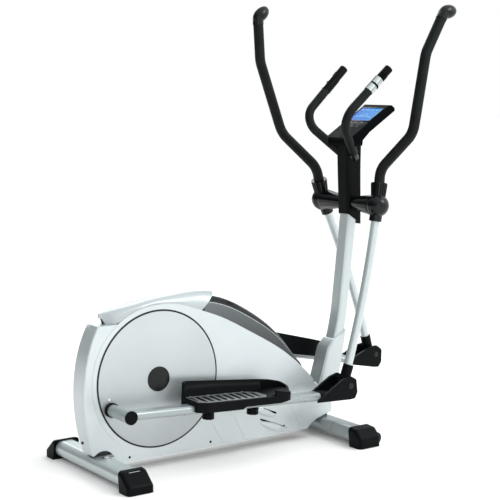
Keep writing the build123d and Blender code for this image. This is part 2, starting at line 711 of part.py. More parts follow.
def pedal():
    """Foot tray with a high wall on its inner side and round the toe."""
    body = tray_plan(0, -5, tread_z)
    under_front = xz_plate([(448, -40), (448, -5), (460, 3), (617, 4), (665, 12), (700, 16), (700, -40)],
                           60, 240)
    body = body - under_front - box(200, 760, ear_in - 0.2, ear_out + 0.2, -40, bar_h / 2)
    for y0, y1 in ((pedal_y0 + 6, ear_in - 6), (ear_out + 6, pedal_y1 - 6)):
        body = body - box(pedal_x0 + 30, 600, y0, y1, -40, tread_z - 8)
    rim = tray_plan(0, tread_z, 92) - tray_plan(tray_walls, tread_z - 1, 93)
    rim = rim - box(200, 592, pedal_y0 + 22, 260, tread_z, 120)
    crest = xz_plate([(240, 60), (250, 80), (275, 88), (500, 76), (593, 71), (640, 67), (700, 60),
                      (760, 200), (240, 200)], 60, 240)
    slope = Plane(origin=(686, 100, 64), z_dir=(0.19, 0.26, 1))
    rim = split(rim - crest, bisect_by=slope, keep=Keep.BOTTOM)
    body = body + rim
    ramp = xz_plate([(574, tread_z), (656, 44), (674, 46), (674, tread_z)], 98, 200)
    body = body + (ramp & tray_plan(tray_walls - 2, tread_z - 1, 60))
    for x in knob_spots:
        body = body - rod((x, bar_y, 0), (x, bar_y, 25), 5)
    return body


tread_thick = 1.6


def side_frame(corners, height):
    """Flat plate on the tray floor with the given corners."""
    face = make_face(Polyline(*[(x, y, tread_z) for x, y in corners], close=True))
    return extrude(face, amount=height, dir=(0, 0, 1))


def pedal_tread():
    """Framed set of slanting grip strips on the tray floor."""
    corners = [(272, 98), (528, 98), (568, 128), (568, 186), (552, 202), (306, 202), (272, 182)]
    plate = side_frame(corners, tread_thick)
    hole = side_frame([(277, 103), (526, 103), (563, 131), (563, 184), (550, 197), (308, 197), (277, 180)], 9)
    shape = plate - Pos(0, 0, -3) * hole
    for number in range(10):
        foot = 292 + number * 29
        strip = side_frame([(foot, 98), (foot + 11, 98), (foot, 202), (foot - 11, 202)], tread_thick)
        shape = shape + (strip & plate)
    return shape


def bar_nodes():
    """Every piece that moves with one pedal bar, in the bar's own frame."""
    collar = cross_ring(0, 0, 50, 62, hub_tube_r + 4, hub_bore_r)
    end_cap = cross_rod(0, 0, 185, 191, hub_tube_r + 2)
    crank_pin = cross_rod(0, 0, 51, 184, pin_r)
    for y in (50, 165):
        crank_pin = crank_pin + cross_rod(0, 0, y + 1, y + 19, hub_bore_r)
    pivot_bolt = cross_rod(pivot_local_x, pivot_rise, ear_in - 10, ear_out + 10, pin_r)
    covers = [fork_cover(ear_in - ear_t - fork_t, ear_in - ear_t) - pivot_bolt,
              fork_cover(ear_out + ear_t, ear_out + ear_t + fork_t) - pivot_bolt]
    knobs = []
    for x in knob_spots:
        knob = Pos(x, bar_y, -31) * extrude(RegularPolygon(22, 8), amount=11, both=True)
        knob = fillet(knob.edges().filter_by(Axis.Z), 4)
        knobs.append(knob + rod((x, bar_y, -20), (x, bar_y, -bar_h / 2), 13)
                     + rod((x, bar_y, -20), (x, bar_y, 25), 5))
    return {"pedal_bar": pedal_bar(), "hub_trim": Compound([collar, end_cap]),
            "bar_pins": Compound([crank_pin, pivot_bolt]), "fork_covers": Compound(covers),
            "pedal": pedal(), "pedal_tread": pedal_tread(), "pedal_knobs": Compound(knobs)}


for name, shape in bar_nodes().items():
    for side, prefix, solved in ((1, "left_", left_side), (-1, "right_", right_side)):
        save(prefix + name, place(shape, side, solved[0], solved[1], solved[5]))

# ---------------------------------------------------------------- swing arms
ball_r = 44.0
upper_points = [(0, arm_y, 0), (8.6, 149.6, 138.4), (10.2, 305.5, 281.6), (25.6, 305.6, 585),
                (80.8, 309.1, 730.6)]
lower_points = [(0, 167, -22), (-8, 157, -365), (lower_u, bar_y, lower_v)]
lower_hub_r = 19.0


def step_along(a, b, distance):
    """Point at a distance from a towards b."""
    start = Vector(*a)
    return start + (Vector(*b) - start).normalized() * distance


def upper_path(start):
    """Centre line of the upper arm from a distance above the ball's middle."""
    first = step_along(upper_points[0], upper_points[1], start)
    return FilletPolyline(first, *upper_points[1:], radius=[60, 75, 110])


def arm_nodes():
    """Every piece that turns with one swing arm, in the arm's own frame."""
    upper_solid = bent_tube(upper_path(24), grip_tube_r, 0)
    upper_tube = upper_solid - bent_tube(upper_path(23), grip_tube_r - 2, 0)
    lower_line = Spline(*lower_points)
    lower_plane = Plane(origin=lower_line @ 0, z_dir=lower_line % 0)
    lower_solid = sweep(lower_plane * Circle(arm_tube_r), path=lower_line)
    lower_bore = sweep(lower_plane * Circle(arm_tube_r - 2.5), path=lower_line)
    hub_y0 = ear_in + side_gap
    hub_y1 = ear_out - side_gap
    hub = cross_rod(lower_u, lower_v, hub_y0, hub_y1, lower_hub_r)
    lower_tube = (lower_solid + hub) - (lower_bore - hub)
    lower_tube = lower_tube - cross_rod(lower_u, lower_v, 100, 200, pin_r + run_gap)
    lower_tube = lower_tube - (cross_rod(lower_u, lower_v, 100, 200, lower_hub_r - 1) - hub)
    above = step_along(lower_points[2], (-30.5, 152.4, lower_v + 90), lower_hub_r + 3)
    boot_top = step_along(lower_points[2], (-30.5, 152.4, lower_v + 90), lower_hub_r + 58)
    boot = rod(tuple(above), tuple(boot_top), arm_tube_r + 4) - lower_solid
    ball = Pos(0, arm_y, 0) * Sphere(ball_r)
    cone_plane = Plane(origin=(0, 39, 0), z_dir=(0, 1, 0))
    cone = cone_plane * Cone(26, 42, 111, align=(Align.CENTER, Align.CENTER, Align.MIN))
    sleeve_foot = step_along(upper_points[0], upper_points[1], 28)
    sleeve_plane = Plane(origin=sleeve_foot, z_dir=Vector(*upper_points[1]) - Vector(*upper_points[0]))
    sleeve = sleeve_plane * Cone(26, 31, 58, align=(Align.CENTER, Align.CENTER, Align.MIN))
    collar = rod((0, 166.5, -30), (0, 165.6, -60), 24)
    housing = ball + cone + sleeve + collar - upper_solid - lower_solid
    housing = housing - cross_rod(0, 0, 20, arm_y + 8.5, crank_axle_r + run_gap)
    foam_path = upper_path(86)
    foam = bent_tube(foam_path, foam_r, 0) - bent_tube(upper_path(85), grip_tube_r, 0)
    tip = foam_path @ 1
    tip_dir = foam_path % 1
    egg = Pos(24, 0, 21) * (Pos(tip) * (Rot(0, -17, 0) * scale(Sphere(26), by=(40 / 26, 0.94, 1))))
    cup = rod(tuple(tip - tip_dir * 12), tuple(tip + tip_dir * 16), foam_r + 1.5)
    knob = egg + cup - rod(tuple(tip - tip_dir * 60), tuple(tip), foam_r)
    return {"pivot_housing": housing, "upper_tube": upper_tube, "grip_foam": foam, "grip_knob": knob,
            "lower_tube": lower_tube, "lower_boot": boot}


for name, shape in arm_nodes().items():
    for side, prefix, solved in ((1, "left_", left_side), (-1, "right_", right_side)):
        save(prefix + name, place(shape, side, arm_x, arm_z, solved[4]))
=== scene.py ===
"""Finished surfaces and small fittings for the elliptical trainer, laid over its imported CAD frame."""

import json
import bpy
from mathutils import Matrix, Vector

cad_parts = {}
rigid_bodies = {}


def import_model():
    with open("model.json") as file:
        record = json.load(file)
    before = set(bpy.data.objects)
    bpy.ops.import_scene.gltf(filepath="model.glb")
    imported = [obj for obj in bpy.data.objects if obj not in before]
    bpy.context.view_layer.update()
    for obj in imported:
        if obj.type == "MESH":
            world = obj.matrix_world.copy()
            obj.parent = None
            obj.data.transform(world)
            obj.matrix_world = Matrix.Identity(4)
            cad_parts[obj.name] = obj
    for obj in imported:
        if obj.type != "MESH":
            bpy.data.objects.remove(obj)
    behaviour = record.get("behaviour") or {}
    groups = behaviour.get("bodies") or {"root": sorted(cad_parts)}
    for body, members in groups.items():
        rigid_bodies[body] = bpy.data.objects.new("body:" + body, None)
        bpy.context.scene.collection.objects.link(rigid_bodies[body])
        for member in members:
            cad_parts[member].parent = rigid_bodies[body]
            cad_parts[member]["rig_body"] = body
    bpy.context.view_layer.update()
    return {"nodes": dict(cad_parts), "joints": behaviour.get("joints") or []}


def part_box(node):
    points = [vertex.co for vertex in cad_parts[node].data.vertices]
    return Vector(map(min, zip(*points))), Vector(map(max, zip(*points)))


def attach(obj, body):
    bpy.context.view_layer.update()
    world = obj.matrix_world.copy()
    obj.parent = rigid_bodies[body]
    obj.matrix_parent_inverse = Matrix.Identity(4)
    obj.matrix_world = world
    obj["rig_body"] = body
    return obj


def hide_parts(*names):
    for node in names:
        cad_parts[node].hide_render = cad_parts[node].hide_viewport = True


bl_info = {
    "name": "Elliptical Trainer",
    "version": (1, 0, 0),
    "blender": (4, 5, 0),
    "location": "View3D > Sidebar > Trainer",
    "description": "Adds the finishes, trims and small fittings of an elliptical trainer to its CAD frame",
    "category": "Object",
}

from math import atan2, pi, radians

import bpy
from mathutils import Matrix, Vector

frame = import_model()

SIDES = ("left", "right")

# Places on the CAD frame, in metres. A distance to the side counts from the middle, the same left and right.
ARM_FOOT = (-0.046, -0.6925)  # an arm's lower pivot from its upper one, x and z in the arm's own frame
BAR_FRONT = (0.957323, 0.036)  # a bar's front pivot from its crank pin, x and z in the bar's own frame
BAR_NOSE = 0.826  # where the black front of a pedal bar starts, from its crank pin
BOOT_TOP = 0.030  # top of the black foot of a lower tube, from its pivot
ARM_BALL = (0.0, 0.168, 0.0)  # middle of an arm's ball joint in the arm's own frame
SLEEVE_END = (0.0086, 0.1496, 0.1384)  # a point that the grip sleeve runs towards, in the same frame
PANEL_LINE = (0.0278, 0.0290)  # inner and outer edge of the line beside the smoked panel's ridge
TUBE_LINE = (0.1160, 0.1175)  # edges of the line round each half of the front cross tube
CASING_FACE = 0.0405  # flat side of the casing at its screws
# Black ring laid over the gap round each crank disc, painted shade where that gap is dark: its inner radius
# and the y of its two faces.
GAP_SHADE_RADIUS = 0.2433
GAP_SHADE_FACES = (0.0424, 0.0438)
# x from the crank, z, length and height of each lip
GILL_LIPS = ((0.469, 0.1270, 0.122, 0.022), (0.507, 0.0665, 0.148, 0.026))
CASING_SCREWS = ((0.223, 0.052), (-0.120, 0.050), (0.560, 0.062))  # x from the crank, z
# x and y of each screw in the bar's own frame
TREAD_SCREWS = ((0.292, 0.1005), (0.368, 0.1005), (0.444, 0.1005), (0.518, 0.1005),
                (0.322, 0.1995), (0.388, 0.1995), (0.454, 0.1995), (0.520, 0.1995))
TREAD_TOP = 0.0322
FORK_BOLTS = ((0.1045, 6), (0.1945, 48))  # y in the bar's frame, sides of the head
SCREEN_LEAN = radians(32.5)
DISPLAY_BARS = (3, 5, 6, 8, 6, 9, 10, 8, 6, 4, 5, 3)  # heights of the lit bars, in steps
BAR_STEP = 0.0034
KEY_PLACES = (-0.034, 0, 0.034)
PULSE_MIDDLE = 0.1323  # y of a pulse pad's black band
PULSE_RUN = Vector((0.213, 0.014, 0.192)).normalized()  # heading of the left handlebar through its pad


# ------------------------------------------------------------------ sizes and colours
class TrainerSizes(bpy.types.PropertyGroup):
    """Sizes of the trims and fittings that are added to the frame."""

    # The black ring over each disc's gap is painted shade.
    gap_width: bpy.props.FloatProperty(
        name="Disc seal width", description="Width of the black seal round each crank disc",
        default=0.0062, min=0.001, max=0.02, unit="LENGTH")
    rib_count: bpy.props.IntProperty(
        name="Sleeve ribs", description="Ribs round each grip sleeve above its ball joint",
        default=18, min=6, max=40)
    screw_radius: bpy.props.FloatProperty(
        name="Screw radius", description="Radius of the casing's screw heads",
        default=0.0046, min=0.002, max=0.01, unit="LENGTH")
    smooth_angle: bpy.props.FloatProperty(
        name="Smoothing angle", description="Edges flatter than this are shaded smooth",
        default=radians(32), min=0, max=pi, subtype="ANGLE")


class TrainerColours(bpy.types.PropertyGroup):
    """Colours of the trainer's finishes."""

    casing: bpy.props.FloatVectorProperty(
        name="Casing", description="Satin silver-white of the casing mouldings",
        default=(0.58, 0.62, 0.63), size=3, min=0, max=1, subtype="COLOR")
    disc: bpy.props.FloatVectorProperty(
        name="Crank disc", description="Light grey of the crank discs",
        default=(0.52, 0.555, 0.565), size=3, min=0, max=1, subtype="COLOR")
    silver: bpy.props.FloatVectorProperty(
        name="Silver paint", description="Silver paint on the mast, arms, bars and cross tubes",
        default=(0.53, 0.58, 0.585), size=3, min=0, max=1, subtype="COLOR")
    black: bpy.props.FloatVectorProperty(
        name="Black plastic", description="Black of the shroud, console, pedals and caps",
        default=(0.0018, 0.0024, 0.0028), size=3, min=0, max=1, subtype="COLOR")
    foam: bpy.props.FloatVectorProperty(
        name="Foam", description="Charcoal of the foam grips",
        default=(0.0035, 0.0044, 0.0048), size=3, min=0, max=1, subtype="COLOR")
    screen: bpy.props.FloatVectorProperty(
        name="Display", description="Blue of the lit display",
        default=(0.005, 0.085, 0.50), size=3, min=0, max=1, subtype="COLOR")


class TrainerStudio(bpy.types.PropertyGroup):
    """Camera and light of the studio."""

    lens: bpy.props.FloatProperty(
        name="Lens", description="Focal length on a 36 mm wide sensor, in millimetres",
        default=96.84, min=20, max=300)
    key_power: bpy.props.FloatProperty(
        name="Key light", description="Power of the large soft light, in watts",
        default=110.0, min=0, max=5000)
    world_light: bpy.props.FloatProperty(
        name="Room light", description="Strength of the even light all round",
        default=1.0, min=0, max=10)


def sizes():
    return bpy.context.scene.trainer_sizes


def colours():
    return bpy.context.scene.trainer_colours


# ------------------------------------------------------------------ material helpers
finishes = {}


def new_finish(name, colour, rough, metal=0.0, coat=0.0, coat_rough=0.1, sheen=0.0, specular=0.5):
    """Principled material with its even values on the shader's own sockets."""
    mat = bpy.data.materials.new(name)
    mat.use_nodes = True
    shader = mat.node_tree.nodes["Principled BSDF"]
    shader.inputs["Base Color"].default_value = (*colour, 1)
    shader.inputs["Roughness"].default_value = rough
    shader.inputs["Metallic"].default_value = metal
    shader.inputs["Coat Weight"].default_value = coat
    shader.inputs["Coat Roughness"].default_value = coat_rough
    shader.inputs["Sheen Weight"].default_value = sheen
    shader.inputs["Specular IOR Level"].default_value = specular
    finishes[name] = mat
    return mat, shader


def place_noise(mat, scale, detail=3.0, stretch=(1, 1, 1)):
    """Noise on the object's own coordinates."""
    nodes = mat.node_tree.nodes
    links = mat.node_tree.links
    coords = nodes.new("ShaderNodeTexCoord")
    mapping = nodes.new("ShaderNodeMapping")
    mapping.inputs["Scale"].default_value = stretch
    noise = nodes.new("ShaderNodeTexNoise")
    noise.inputs["Scale"].default_value = scale
    noise.inputs["Detail"].default_value = detail
    links.new(coords.outputs["Object"], mapping.inputs["Vector"])
    links.new(mapping.outputs["Vector"], noise.inputs["Vector"])
    return noise.outputs["Fac"]


def vary_colour(mat, shader, signal, dark, light, low=0.35, high=0.65):
    """Let a signal move the base colour between two shades."""
    ramp = mat.node_tree.nodes.new("ShaderNodeValToRGB")
    ramp.color_ramp.elements[0].position = low
    ramp.color_ramp.elements[0].color = (*dark, 1)
    ramp.color_ramp.elements[1].position = high
    ramp.color_ramp.elements[1].color = (*light, 1)
    mat.node_tree.links.new(signal, ramp.inputs["Fac"])
    mat.node_tree.links.new(ramp.outputs["Color"], shader.inputs["Base Color"])
    return ramp


def vary_roughness(mat, shader, signal, low, high):
    """Let a signal move the roughness between two values."""
    span = mat.node_tree.nodes.new("ShaderNodeMapRange")
    span.inputs["From Min"].default_value = 0.3
    span.inputs["From Max"].default_value = 0.7
    span.inputs["To Min"].default_value = low
    span.inputs["To Max"].default_value = high
    mat.node_tree.links.new(signal, span.inputs["Value"])
    mat.node_tree.links.new(span.outputs["Result"], shader.inputs["Roughness"])


def add_bump(mat, shader, signal, strength, depth):
    """Raise the surface by a signal, depth in metres."""
    bump = mat.node_tree.nodes.new("ShaderNodeBump")
    bump.inputs["Strength"].default_value = strength
    bump.inputs["Distance"].default_value = depth
    mat.node_tree.links.new(signal, bump.inputs["Height"])
    mat.node_tree.links.new(bump.outputs["Normal"], shader.inputs["Normal"])


def shade(colour, factor):
    """A colour made lighter or darker."""
    return tuple(min(1.0, channel * factor) for channel in colour)


def moulded(name, colour, rough, grain, coat=0.0, spread=0.03, foot=1.0, specular=0.5, metal=0.0):
    """Moulded plastic: fine grain, faint cloudiness, uneven gloss and, where asked, painted shade that
    darkens it towards the floor.
    """
    mat, shader = new_finish(name, colour, rough, metal=metal, coat=coat, coat_rough=0.25, specular=specular)
    cloud = place_noise(mat, 5.0, 4.0)
    ramp = vary_colour(mat, shader, cloud, shade(colour, 1 - spread), shade(colour, 1 + spread))
    # foot below 1 paints shade: the colour darkens towards the floor
    if foot < 1.0:
        paint_shade_at_foot(mat, shader, ramp, foot)
    vary_roughness(mat, shader, place_noise(mat, 14.0, 5.0), rough - 0.05, rough + 0.06)
    add_bump(mat, shader, place_noise(mat, grain, 2.0), 0.25, 0.0002)


def paint_shade_at_foot(mat, shader, ramp, foot, low=0.05, high=0.50):
    """Darken a finish towards the floor: painted shade, as if less light reached its lower part."""
    nodes = mat.node_tree.nodes
    links = mat.node_tree.links
    coords = nodes.new("ShaderNodeTexCoord")
    split = nodes.new("ShaderNodeSeparateXYZ")
    height = nodes.new("ShaderNodeMapRange")
    height.inputs["From Min"].default_value = low
    height.inputs["From Max"].default_value = high
    height.inputs["To Min"].default_value = foot
    height.inputs["To Max"].default_value = 1.0
    mix = nodes.new("ShaderNodeVectorMath")
    mix.operation = "SCALE"
    links.new(coords.outputs["Object"], split.inputs["Vector"])
    links.new(split.outputs["Z"], height.inputs["Value"])
    links.new(ramp.outputs["Color"], mix.inputs[0])
    links.new(height.outputs["Result"], mix.inputs["Scale"])
    links.new(mix.outputs["Vector"], shader.inputs["Base Color"])


def painted(name, colour, rough):
    """Silver paint: fine flake under a thin clear coat."""
    mat, shader = new_finish(name, colour, rough, metal=0.45, coat=0.35, coat_rough=0.18)
    flake = place_noise(mat, 2600.0, 1.0)
    vary_colour(mat, shader, flake, shade(colour, 0.93), shade(colour, 1.06))
    vary_roughness(mat, shader, place_noise(mat, 9.0, 5.0), rough - 0.04, rough + 0.05)
    add_bump(mat, shader, place_noise(mat, 240.0, 2.0), 0.05, 0.0002)


def soft(name, colour, rough, grain, depth, sheen=0.0, gloss=0.08):
    """Foam or rubber: open pores and a dull surface."""
    mat, shader = new_finish(name, colour, rough, sheen=sheen, specular=gloss)
    vary_colour(mat, shader, place_noise(mat, 30.0, 5.0), shade(colour, 0.75), shade(colour, 1.5))
    vary_roughness(mat, shader, place_noise(mat, 60.0, 4.0), rough - 0.08, rough + 0.06)
    add_bump(mat, shader, place_noise(mat, grain, 3.0), 0.7, depth)


def brushed(name, colour, rough, stretch):
    """Turned or brushed metal: long fine scratches one way."""
    mat, shader = new_finish(name, colour, rough, metal=0.9)
    grain = place_noise(mat, 90.0, 4.0, stretch)
    vary_colour(mat, shader, grain, shade(colour, 0.85), shade(colour, 1.1))
    vary_roughness(mat, shader, grain, rough - 0.08, rough + 0.12)
    add_bump(mat, shader, grain, 0.15, 0.0001)


def graded(name, dark, light, start, end, rough, coat):
    """Glossy moulding whose colour runs from dark to light between two points."""
    mat, shader = new_finish(name, dark, rough, coat=coat, coat_rough=0.06)
    nodes = mat.node_tree.nodes
    links = mat.node_tree.links
    coords = nodes.new("ShaderNodeTexCoord")
    along = nodes.new("ShaderNodeVectorMath")
    along.operation = "DOT_PRODUCT"
    run = Vector(end) - Vector(start)
    along.inputs[1].default_value = run / run.length_squared
    offset = nodes.new("ShaderNodeMath")
    offset.operation = "SUBTRACT"
    offset.inputs[1].default_value = Vector(start).dot(run) / run.length_squared
    links.new(coords.outputs["Object"], along.inputs[0])
    links.new(along.outputs["Value"], offset.inputs[0])
    vary_colour(mat, shader, offset.outputs["Value"], dark, light, 0.0, 1.0)
    add_bump(mat, shader, place_noise(mat, 40.0, 3.0), 0.06, 0.0002)
    return shader


def make_finishes():
    """Every finish of the trainer."""
    tint = colours()
    moulded("casing_silver", tint.casing, rough=0.38, grain=900.0, coat=0.1, metal=0.45)
    # The hood takes the casing's silver made darker: painted shade on the same moulding.
    moulded("hood_silver_shaded", shade(tint.casing, 0.74), rough=0.36, grain=900.0, coat=0.1, metal=0.4)
    # The crank discs darken towards their bottom: painted shade.
    moulded("disc_silver", tint.disc, rough=0.34, grain=900.0, coat=0.1, foot=0.76, metal=0.6)
    moulded("black_satin", tint.black, rough=0.42, grain=1400.0, spread=0.2, specular=0.07)
    moulded("black_sheen", shade(tint.black, 0.9), rough=0.2, grain=700.0, spread=0.1, specular=0.3)
    moulded("sheath_silver", shade(tint.casing, 0.95), rough=0.32, grain=900.0, coat=0.1, metal=0.6)
    # Matt black of the screws and lines, and also of the ring laid over each disc's gap as painted shade.
    moulded("black_and_gap_shade", (0.006, 0.006, 0.006), rough=0.7, grain=700.0)
    moulded("key_grey", (0.016, 0.018, 0.020), rough=0.5, grain=1200.0, specular=0.1)
    moulded("console_black", tint.black, rough=0.5, grain=1400.0, spread=0.2, specular=0.02)
    moulded("print_grey", (0.35, 0.37, 0.38), rough=0.5, grain=1200.0)
    moulded("dot_white", (0.85, 0.85, 0.85), rough=0.4, grain=1200.0)
    moulded("display_light", (0.13, 0.42, 0.80), rough=0.4, grain=1200.0, specular=0.1)
    painted("silver_paint", tint.silver, rough=0.33)
    painted("silver_steel", shade(tint.silver, 0.60), rough=0.30)
    painted("black_paint", (0.006, 0.007, 0.008), rough=0.35)
    soft("grip_foam", tint.foam, rough=0.55, grain=900.0, depth=0.0005, gloss=0.16)
    soft("tyre_rubber", (0.015, 0.015, 0.015), rough=0.65, grain=500.0, depth=0.0004)
    brushed("turned_steel", (0.55, 0.56, 0.57), rough=0.3, stretch=(1, 8, 1))
    brushed("tread_metal", (0.62, 0.63, 0.65), rough=0.34, stretch=(1, 6, 1))
    brushed("pulse_metal", (0.52, 0.55, 0.55), rough=0.28, stretch=(6, 1, 1))
    brushed("iron", (0.22, 0.22, 0.23), rough=0.42, stretch=(1, 8, 1))
    low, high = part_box("casing_inset_panel")
    graded("smoked_panel", (0.09, 0.10, 0.104), (0.006, 0.007, 0.008), start=(low.x, 0, high.z),
           end=(high.x - 0.05, 0, low.z + 0.05), rough=0.2, coat=0.25)
    low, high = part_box("console_screen")
    shader = graded("display_blue", tint.screen, (0.012, 0.27, 0.66), start=(low.x, 0.05, low.z),
                    end=(high.x, -0.06, high.z), rough=0.25, coat=0.0)
    shader.inputs["Emission Color"].default_value = (0.10, 0.32, 1.0, 1)
    shader.inputs["Emission Strength"].default_value = 0.12
    shader.inputs["Specular IOR Level"].default_value = 0.04


# ------------------------------------------------------------------ mesh helpers
def only(obj):
    """Make one object the only selected and active one."""
    bpy.ops.object.select_all(action="DESELECT")
    obj.select_set(True)
    bpy.context.view_layer.objects.active = obj


def settle(obj):
    """Bake an object's place, turn and size into its mesh."""
    only(obj)
    bpy.ops.object.transform_apply(location=True, rotation=True, scale=True)


def finish_piece(obj, name, body, finish):
    """Name a piece, set its finish, bake its place into its mesh and let it ride on a body."""
    settle(obj)
    obj.name = name
    obj.data.name = name
    obj.data.materials.clear()
    obj.data.materials.append(finishes[finish])
    bpy.ops.object.shade_smooth_by_angle(angle=sizes().smooth_angle)
    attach(obj, body)
    return obj


def skin(node, finish):
    """Merged, smooth copy of a CAD node that stands for it."""
    source = frame["nodes"][node]
    only(source)
    bpy.ops.object.duplicate()
    copy = bpy.context.active_object
    copy.parent = None
    for key in list(copy.keys()):
        if key.startswith("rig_"):
            del copy[key]
    only(copy)
    bpy.ops.object.mode_set(mode="EDIT")
    bpy.ops.mesh.select_all(action="SELECT")
    bpy.ops.mesh.remove_doubles(threshold=0.00001)
    bpy.ops.mesh.dissolve_limited(angle_limit=radians(0.4))
    bpy.ops.mesh.select_all(action="DESELECT")
    bpy.ops.object.mode_set(mode="OBJECT")
    piece = finish_piece(copy, node + "_skin", source["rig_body"], finish)
    even = piece.modifiers.new("even", "WEIGHTED_NORMAL")
    even.keep_sharp = True
    even.weight = 80
    bpy.ops.object.modifier_apply(modifier="even")
    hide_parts(node)
    return piece


def cover(finish_of, sided=False):
    """Skin every node named, or both sides' nodes where the names are given without a side."""
    for node, finish in finish_of.items():
        if sided:
            for side in SIDES:
                skin(side + "_" + node, finish)
        else:
            skin(node, finish)


class TRAINER_OT_casing(bpy.types.Operator):
    """Casing shells, hood, smoked panel and front cover"""

    bl_idname = "trainer.casing"
    bl_label = "Casing"

    def execute(self, context):
        cover({
            "casing_left_shell": "casing_silver", "casing_right_shell": "casing_silver",
            "casing_hood": "hood_silver_shaded", "casing_inset_panel": "smoked_panel",
            "casing_front_cover": "casing_silver", "power_inlet": "black_satin",
        })
        panel = bpy.data.objects["casing_inset_panel_skin"]
        inner, outer = PANEL_LINE
        cut_both_sides(panel, inner, outer)
        repaint(panel, "black_sheen", lambda at: abs(at.y) < inner)
        repaint(panel, "print_grey", lambda at: inner < abs(at.y) < outer)
        return {"FINISHED"}


class TRAINER_OT_base(bpy.types.Operator):
    """Base frame, cross tubes, their end caps and the transport wheels"""

    bl_idname = "trainer.base"
    bl_label = "Base"

    def execute(self, context):
        cover({
            "base_frame": "black_paint", "rear_stabilizer": "silver_paint",
            "front_stabilizer": "silver_steel", "stabilizer_end_caps": "black_satin",
        })
        cover({"transport_wheel": "tyre_rubber"}, sided=True)
        tube = bpy.data.objects["front_stabilizer_skin"]
        inner, outer = TUBE_LINE
        cut_both_sides(tube, inner, outer)
        repaint(tube, "black_and_gap_shade", lambda at: inner < abs(at.y) < outer)
        return {"FINISHED"}


class TRAINER_OT_drive(bpy.types.Operator):
    """Crank, pulley, belt, flywheel and brake"""

    bl_idname = "trainer.drive"
    bl_label = "Drive"

    def execute(self, context):
        cover({
            "crank_bearings": "turned_steel", "crank_axle": "turned_steel", "crank_discs": "disc_silver",
            "hub_caps": "black_sheen", "drive_pulley": "black_satin", "drive_belt": "tyre_rubber",
            "flywheel": "iron", "brake_magnet": "black_paint",
        })
        return {"FINISHED"}


class TRAINER_OT_mast(bpy.types.Operator):
    """Mast tube, its foot sheath, its shroud and the arms' axle"""

    bl_idname = "trainer.mast"
    bl_label = "Mast"

    def execute(self, context):
        cover({
            "mast_tube": "silver_paint", "mast_sheath": "sheath_silver", "mast_shroud": "black_satin",
            "pivot_axle": "turned_steel",
        })
        return {"FINISHED"}


class TRAINER_OT_console(bpy.types.Operator):
    """Console housing, display and buttons"""

    bl_idname = "trainer.console"
    bl_label = "Console"

    def execute(self, context):
        cover({
            "console_housing": "console_black", "console_screen": "display_blue",
            "console_button_left": "key_grey", "console_button_centre": "key_grey",
            "console_button_right": "key_grey",
        })
        return {"FINISHED"}


class TRAINER_OT_handlebars(bpy.types.Operator):
    """Fixed handlebars with their foam, pulse pads and ends"""

    bl_idname = "trainer.handlebars"
    bl_label = "Fixed handlebars"

    def execute(self, context):
        cover({
            "left_fixed_handlebar": "black_paint", "right_fixed_handlebar": "black_paint",
            "fixed_bar_foam": "grip_foam", "pulse_pads": "pulse_metal", "fixed_bar_end_caps": "black_satin",
        })
        return {"FINISHED"}


class TRAINER_OT_arms(bpy.types.Operator):
    """Swing arms: ball joints, tubes, foam and knobs"""

    bl_idname = "trainer.arms"
    bl_label = "Swing arms"

    def execute(self, context):
        cover({
            "pivot_housing": "black_sheen", "upper_tube": "black_paint", "grip_foam": "grip_foam",
            "grip_knob": "black_sheen", "lower_tube": "silver_paint", "lower_boot": "black_satin",
        }, sided=True)
        for side in SIDES:
            tube = bpy.data.objects[side + "_lower_tube_skin"]
            pivot = joint_spot(side + "_bar_pivot")
            run = (joint_spot(side + "_arm_swing") - pivot).normalized()
            cut_across(tube, pivot + run * BOOT_TOP, run)
            repaint(tube, "black_satin", lambda at: (at - pivot).dot(run) < BOOT_TOP)
        return {"FINISHED"}


class TRAINER_OT_bars(bpy.types.Operator):
    """Pedal bars with their hubs, pins and fork covers"""

    bl_idname = "trainer.bars"
    bl_label = "Pedal bars"

    def execute(self, context):
        cover({
            "pedal_bar": "silver_steel", "hub_trim": "black_satin", "bar_pins": "black_sheen",
            "fork_covers": "black_satin",
        }, sided=True)
        return {"FINISHED"}


class TRAINER_OT_pedals(bpy.types.Operator):
    """Pedals, their treads and their clamping knobs"""

    bl_idname = "trainer.pedals"
    bl_label = "Pedals"

    def execute(self, context):
        cover({
            "pedal": "black_satin", "pedal_tread": "tread_metal", "pedal_knobs": "black_satin",
        }, sided=True)
        return {"FINISHED"}


# ------------------------------------------------------------------ shapes made by hand
def ring(centre, inner, outer, low_y, high_y, steps=160):
    """Ring about an axis along Y, spun from its own cross section."""
    bpy.ops.object.select_all(action="DESELECT")
    bpy.ops.mesh.primitive_plane_add(size=1, location=(0, 0, 0))
    piece = bpy.context.active_object
    piece.scale = (outer - inner, high_y - low_y, 1)
    piece.location = (centre.x + (inner + outer) / 2, (low_y + high_y) / 2, centre.z)
    settle(piece)
    bpy.ops.object.mode_set(mode="EDIT")
    bpy.ops.mesh.select_all(action="SELECT")
    bpy.ops.mesh.spin(steps=steps, angle=2 * pi, center=centre, axis=(0, 1, 0))
    bpy.ops.mesh.select_all(action="SELECT")
    bpy.ops.mesh.remove_doubles(threshold=0.00002)
    bpy.ops.mesh.select_all(action="SELECT")
    bpy.ops.mesh.normals_make_consistent(inside=False)
    bpy.ops.object.mode_set(mode="OBJECT")
    return piece


def stub(centre, direction, radius, depth, soft_edge, sides=48):
    """Short round head with a softened rim, its middle at centre."""
    bpy.ops.object.select_all(action="DESELECT")
    bpy.ops.mesh.primitive_cylinder_add(vertices=sides, radius=radius, depth=depth, location=centre,
                                        rotation=Vector(direction).to_track_quat("Z", "Y").to_euler())
    piece = bpy.context.active_object
    only(piece)
    bevel = piece.modifiers.new("rim", "BEVEL")
    bevel.width = soft_edge
    bevel.segments = 3
    bevel.limit_method = "ANGLE"
    bevel.angle_limit = radians(50)
    bpy.ops.object.modifier_apply(modifier="rim")
    return piece


